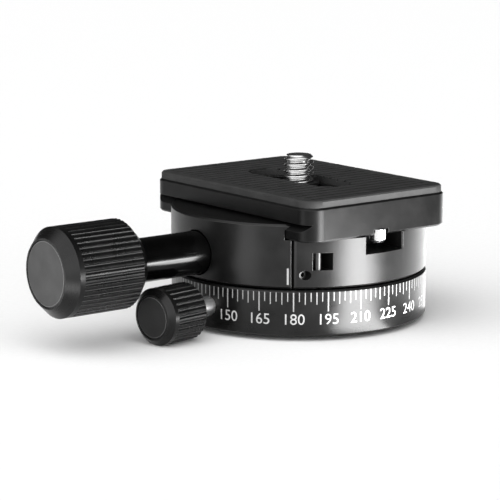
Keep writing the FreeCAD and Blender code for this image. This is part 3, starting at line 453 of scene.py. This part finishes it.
def add_mark(work, azimuth_deg, top, length, width):
    """A closed thin mark on the round side, hanging from a height."""
    middle = math.radians(azimuth_deg)
    half = width / 2 / RING_RADIUS
    corners = []
    for radius in (RING_RADIUS - MARK_ROOT, RING_RADIUS + MARK_LIFT):
        for turn, height in ((-half, top - length), (half, top - length), (half, top), (-half, top)):
            corners.append(work.verts.new(on_ring(middle + turn, height, radius)))
    for face in ((0, 1, 2, 3), (4, 5, 6, 7), (0, 1, 5, 4), (1, 2, 6, 5), (2, 3, 7, 6), (3, 0, 4, 7)):
        work.faces.new([corners[place] for place in face])


def make_dial_marks(material):
    """Marks every 2.5 degrees, longer each 5 and longest each 15."""
    work = bmesh.new()
    top = RING_HIGH.z - RING_BEVEL
    for step in range(DIAL_STEPS):
        azimuth = ZERO_AZIMUTH + step * STEP_DEG
        if step % MAJOR_EVERY == 0:
            add_mark(work, azimuth, top, MAJOR_LENGTH, MAJOR_WIDTH)
        elif step % MEDIUM_EVERY == 0:
            add_mark(work, azimuth, top, MEDIUM_LENGTH, MARK_WIDTH)
        else:
            add_mark(work, azimuth, top, MINOR_LENGTH, MARK_WIDTH)
    piece_from("dial_marks", mesh_from("dial_marks", work), material, "base")


def flat_number(text):
    """A number as a flat mesh with a little thickness, centred, its baseline at zero."""
    curve = bpy.data.curves.new("number", "FONT")
    curve.body = text
    curve.size = NUMBER_HEIGHT / DIGIT_SHARE
    curve.align_x = "CENTER"
    curve.extrude = (MARK_LIFT + MARK_ROOT) / 2
    curve.resolution_u = DIGIT_CURVE_STEPS
    holder = add_object("number", curve)
    mesh = evaluated_mesh(holder)
    bpy.data.objects.remove(holder)
    return mesh


def make_dial_numbers(material):
    """Degrees every 15, bent round the ring below the long marks."""
    work = bmesh.new()
    base = RING_HIGH.z - RING_BEVEL - MAJOR_LENGTH - NUMBER_GAP - NUMBER_HEIGHT
    middle = (MARK_LIFT - MARK_ROOT) / 2
    for step in range(0, DIAL_STEPS, MAJOR_EVERY):
        flat = flat_number(str(int(step * STEP_DEG)))
        azimuth = math.radians(ZERO_AZIMUTH + step * STEP_DEG)
        for vertex in flat.vertices:
            across, up, out = vertex.co
            vertex.co = on_ring(azimuth + across / RING_RADIUS, base + up, RING_RADIUS + middle + out)
        work.from_mesh(flat)
        bpy.data.meshes.remove(flat)
    bmesh.ops.remove_doubles(work, verts=work.verts, dist=WELD_DISTANCE)
    piece_from("dial_numbers", mesh_from("dial_numbers", work), material, "base")


def make_index_line(material):
    """The white line on the moving jaw that the dial is read by."""
    work = bmesh.new()
    top = CLAMP_LOW.z + RING_BEVEL + INDEX_RISE + INDEX_LENGTH
    add_mark(work, INDEX_AZIMUTH, top, INDEX_LENGTH, INDEX_WIDTH)
    piece_from("index_line", mesh_from("index_line", work), material, "jaw")


def cut_from(obj, work):
    """Subtract the solid being edited from an object."""
    cutter = add_object("cutter", mesh_from("cutter", work))
    modifier = obj.modifiers.new("cut", "BOOLEAN")
    modifier.operation = "DIFFERENCE"
    modifier.solver = "EXACT"
    modifier.object = cutter
    mesh = evaluated_mesh(obj)
    obj.modifiers.clear()
    obj.data = mesh
    bpy.data.objects.remove(cutter)


def add_box(work, low, high):
    """A closed box between two corners."""
    size = high - low
    place = Matrix.Translation((low + high) / 2) @ Matrix.Diagonal((*size, 1.0))
    bmesh.ops.create_cube(work, size=1.0, matrix=place)


def copy_of(node):
    """A copy of a CAD node's mesh to work on."""
    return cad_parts[node].data.copy()


def make_pad(material):
    """The pad with grooves across it, inside a plain border."""
    low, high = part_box("plate_pad")
    pad = piece_from("grooved_pad", copy_of("plate_pad"), material, "plate")
    work = bmesh.new()
    first = low.y + PAD_BORDER
    gap = (high.y - low.y - 2 * PAD_BORDER) / (PAD_GROOVES - 1)
    half = PAD_GROOVE_WIDTH / 2
    for number in range(PAD_GROOVES):
        middle = first + gap * number
        start = Vector((low.x + PAD_BORDER, middle - half, high.z - PAD_GROOVE_DEPTH))
        end = Vector((high.x - PAD_BORDER, middle + half, high.z + CUT_PAST))
        add_box(work, start, end)
    cut_from(pad, work)
    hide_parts("plate_pad")


def thread_radius(height, turn, tip):
    """Radius of a rounded 60 degree thread at a height and a turn in radians, below a tip."""
    phase = (height / SCREW_PITCH - turn / (2 * math.pi)) % 1.0
    rise = min(1.0, max(0.0, abs(phase - 0.5) * THREAD_STEEPNESS - THREAD_CREST))
    radius = SCREW_RADIUS - (SCREW_RADIUS - SCREW_ROOT_RADIUS) * rise
    return min(radius, SCREW_RADIUS - TIP_CHAMFER + (tip - height), SCREW_RADIUS)


def add_round(work, rows):
    """A closed skin through rings of points, each row a function of the turn."""
    rings = []
    for row in rows:
        ring = []
        for number in range(ROUND_STEPS):
            turn = 2 * math.pi * number / ROUND_STEPS
            radius, height = row(turn)
            ring.append(work.verts.new(on_ring(turn, height, radius)))
        rings.append(ring)
    for lower, upper in zip(rings, rings[1:]):
        for number in range(ROUND_STEPS):
            following = (number + 1) % ROUND_STEPS
            work.faces.new((lower[number], lower[following], upper[following], upper[number]))
    work.faces.new(rings[0])
    work.faces.new(rings[-1])


def fixed(radius, height):
    """A plain round row."""
    return lambda turn: (radius, height)


def threaded(height, tip):
    """A row on the thread."""
    return lambda turn: (thread_radius(height, turn, tip), height)


def screw_rows(low, high):
    """The camera screw's rows, from its head up to its tip."""
    head_top = low.z + SCREW_HEAD_HEIGHT
    plate_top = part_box("plate_body")[1].z
    clip_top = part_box("camera_screw_clip")[1].z
    neck = SCREW_RADIUS - SCREW_NECK_STEP
    rows = [
        fixed(high.x - SCREW_HEAD_EDGE, low.z),
        fixed(high.x, low.z + SCREW_HEAD_EDGE),
        fixed(high.x, head_top - SCREW_HEAD_EDGE),
        fixed(high.x - SCREW_HEAD_EDGE, head_top),
        fixed(SCREW_RADIUS, head_top),
        fixed(SCREW_RADIUS, plate_top),
        fixed(neck, plate_top),
        fixed(neck, clip_top),
    ]
    height = clip_top + THREAD_START
    while height < high.z:
        rows.append(threaded(height, high.z))
        height += SCREW_PITCH / THREAD_ROWS_PER_TURN
    rows.append(fixed(SCREW_ROOT_RADIUS * TIP_SHARE, high.z))
    return rows


def make_camera_screw(material):
    """The camera screw with its thread cut, over the plain solid."""
    low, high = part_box("camera_screw")
    work = bmesh.new()
    add_round(work, screw_rows(low, high))
    for face in work.faces:
        face.smooth = len(face.verts) == 4
    mesh = mesh_from("camera_screw_thread", work)
    screw = piece_from("camera_screw_thread", mesh, material, "camera_screw")
    slot = bmesh.new()
    start = Vector((-high.x * 2, -COIN_SLOT_HALF, low.z - CUT_PAST))
    end = Vector((high.x * 2, COIN_SLOT_HALF, low.z + COIN_SLOT_DEPTH))
    add_box(slot, start, end)
    cut_from(screw, slot)
    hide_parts("camera_screw")


def make_grub_screw(material):
    """The small headless screw with its hexagon socket."""
    low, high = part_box("index_grub_screw")
    mesh = copy_of("index_grub_screw")
    screw = piece_from("grub_screw_socket", mesh, material, "clamp")
    work = bmesh.new()
    centre = Vector(((low.x + high.x) / 2, low.y, (low.z + high.z) / 2))
    lay = Matrix.Translation(centre) @ Matrix.Rotation(math.pi / 2, 4, "X")
    bmesh.ops.create_cone(
        work, cap_ends=True, segments=6, radius1=GRUB_SOCKET_RADIUS, radius2=GRUB_SOCKET_RADIUS,
        depth=GRUB_SOCKET_DEPTH * 2, matrix=lay)
    cut_from(screw, work)
    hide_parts("index_grub_screw")


def dress_nodes():
    """Finish every CAD node that stays on view."""
    about_ring = turned("Z")
    about_knob = turned("X", KNOB_AXIS_Z)
    about_lock = turned("X", LOCK_AXIS_Z, LOCK_YAW)
    dress(["base_housing"], machined_finish("anodised_ring", RING_LOOK, about_ring))
    dress(["clamp_body", "moving_jaw"], machined_finish("anodised_clamp", CLAMP_LOOK, about_ring))
    dress(["plate_body"], machined_finish("anodised_plate", PLATE_LOOK))
    dress(["clamp_knob"], machined_finish("anodised_knob", KNOB_LOOK, about_knob))
    dress(["lock_knob"], machined_finish("anodised_lock_knob", KNOB_LOOK, about_lock))
    dress(["knob_end_disc"], machined_finish("spun_disc", DISC_LOOK, about_knob))
    dress(["lock_knob_disc"], machined_finish("spun_lock_disc", LOCK_DISC_LOOK, about_lock))
    dress(["knob_shank"], machined_finish("black_chrome", SHANK_LOOK, about_knob))
    dress(["plate_stop_screws"], steel_finish("polished_steel", value=0.7, roughness=0.2))
    dress(["lock_screw"], steel_finish("drawn_steel", value=0.9, roughness=0.32))
    dress(["window_stop_pin"], steel_finish("ground_steel", value=0.05, roughness=0.4))
    dress(["thread_bushing", "jaw_guide_pins", "clamp_screw", "knob_thrust_washer"],
          machined_finish("turned_steel", STEEL_LOOK))
    dress(["retaining_ring_screws", "spindle_screws", "screw_retaining_clip", "camera_screw_clip"],
          machined_finish("black_oxide", BLACK_SCREW_LOOK))
    dress(["retaining_ring", "spindle"], machined_finish("bare_aluminium", ALUMINIUM_LOOK, about_ring))
    dress(["lock_shoe"], machined_finish("turned_brass", BRASS_LOOK, about_lock))
    dress(["lower_bearing_washer", "upper_bearing_washer"],
          machined_finish("bearing_plastic", PLASTIC_LOOK))


def make_details():
    """The printed marks and the pieces with fine detail."""
    make_dial_marks(paint_finish("mark_fill", value=0.26))
    make_dial_numbers(paint_finish("number_fill", value=0.4))
    make_index_line(paint_finish("index_fill", value=0.24))
    make_pad(rubber_finish())
    make_camera_screw(steel_finish("thread_steel", value=0.55, roughness=0.22))
    make_grub_screw(machined_finish("black_oxide_grub", BLACK_SCREW_LOOK))


def make_floor():
    """A pale floor that reaches past the view."""
    work = bmesh.new()
    bmesh.ops.create_grid(work, x_segments=1, y_segments=1, size=FLOOR_HALF)
    floor = add_object("floor", mesh_from("floor", work))
    floor.data.materials.append(floor_finish())
    floor.location.z = cad_low.z - FLOOR_DROP


def add_panel(name, foot_deg, run_deg, near, far, width, radiance):
    """A lit panel flat on the floor, whose run starts at the ring's side at its foot."""
    light = bpy.data.lights.new(name, "AREA")
    light.shape = "RECTANGLE"
    light.size = far - near
    light.size_y = width
    light.energy = radiance * math.pi * light.size * light.size_y
    lamp = add_object(name, light)
    foot = on_ring(math.radians(foot_deg), cad_low.z + PANEL_LIFT, RING_RADIUS)
    run = math.radians(run_deg)
    lamp.location = foot + on_ring(run, 0.0, (near + far) / 2)
    lamp.rotation_euler = (math.pi, 0.0, run)
    return lamp


def add_strip(name, near, far, width, radiance):
    """One part of the strip that the front of the clamp mirrors."""
    return add_panel(name, STRIP_FOOT_DEG, STRIP_RUN_DEG, near, far, width, radiance)


def limit_light(lamp, names, state):
    """Let a panel light only some pieces, or all but those."""
    group = bpy.data.collections.new(lamp.name + "_pieces")
    lamp.light_linking.receiver_collection = group
    for name in names:
        group.objects.link(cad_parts[name])
    for entry in group.collection_objects:
        entry.light_linking.link_state = state


def make_room():
    """A room that is bright on the camera's side and dark behind the head."""
    world = bpy.data.worlds.new("studio")
    world.use_nodes = True
    nodes = world.node_tree.nodes
    links = world.node_tree.links
    place = nodes.new("ShaderNodeTexCoord")
    lean = nodes.new("ShaderNodeVectorMath")
    lean.operation = "DOT_PRODUCT"
    links.new(place.outputs["Generated"], lean.inputs[0])
    lean.inputs[1].default_value = ROOM_BRIGHT_SIDE
    rise = nodes.new("ShaderNodeMapRange")
    rise.interpolation_type = "SMOOTHSTEP"
    links.new(lean.outputs["Value"], rise.inputs["Value"])
    ends = {"From Min": 0.0, "From Max": ROOM_BRIGHT_LEAN, "To Min": ROOM_DARK, "To Max": ROOM_BRIGHT}
    for name, number in ends.items():
        rise.inputs[name].default_value = number
    links.new(rise.outputs["Result"], nodes["Background"].inputs["Strength"])
    nodes["Background"].inputs["Color"].default_value = grey(1.0)
    bpy.context.scene.world = world


def make_panels():
    """The lit panels that the black sides mirror.

    The knob swings over the strip when the clamp pans, so the strip doesn't light it.
    A weaker one lights the knob's side alone.
    """
    near_strip = add_strip("strip_near", STRIP_START, STRIP_STEP, STRIP_NARROW, radiance=34.0)
    far_strip = add_strip("strip_far", STRIP_STEP, STRIP_END, STRIP_WIDE, radiance=53.0)
    knob_strip = add_strip("knob_strip", STRIP_STEP, STRIP_END, STRIP_WIDE, radiance=32.0)
    limit_light(near_strip, ["clamp_knob", "knob_end_disc"], "EXCLUDE")
    limit_light(far_strip, ["clamp_knob", "knob_end_disc"], "EXCLUDE")
    limit_light(knob_strip, ["clamp_knob"], "INCLUDE")
    add_panel("rim_panel", -50.0, 10.0, near=10 * MM, far=180 * MM, width=110 * MM, radiance=3.0)
    add_panel("jaw_panel", -155.0, -181.0, near=55 * MM, far=130 * MM, width=50 * MM, radiance=5.0)


def make_camera():
    """The photograph's viewing direction, closer in."""
    data = bpy.data.cameras.new("camera")
    data.sensor_width = CAMERA_SENSOR
    data.lens = CAMERA_LENS
    camera = add_object("camera", data)
    camera.location = CAMERA_PLACE
    camera.rotation_mode = "QUATERNION"
    camera.rotation_quaternion = (CAMERA_AIM - CAMERA_PLACE).to_track_quat("-Z", "Y")
    bpy.context.scene.camera = camera


def set_tones():
    """Plain output tones, so that white stays white."""
    view = bpy.context.scene.view_settings
    view.view_transform = "Standard"
    view.look = "None"


dress_nodes()
make_details()
make_floor()
make_room()
make_panels()
make_camera()
set_tones()
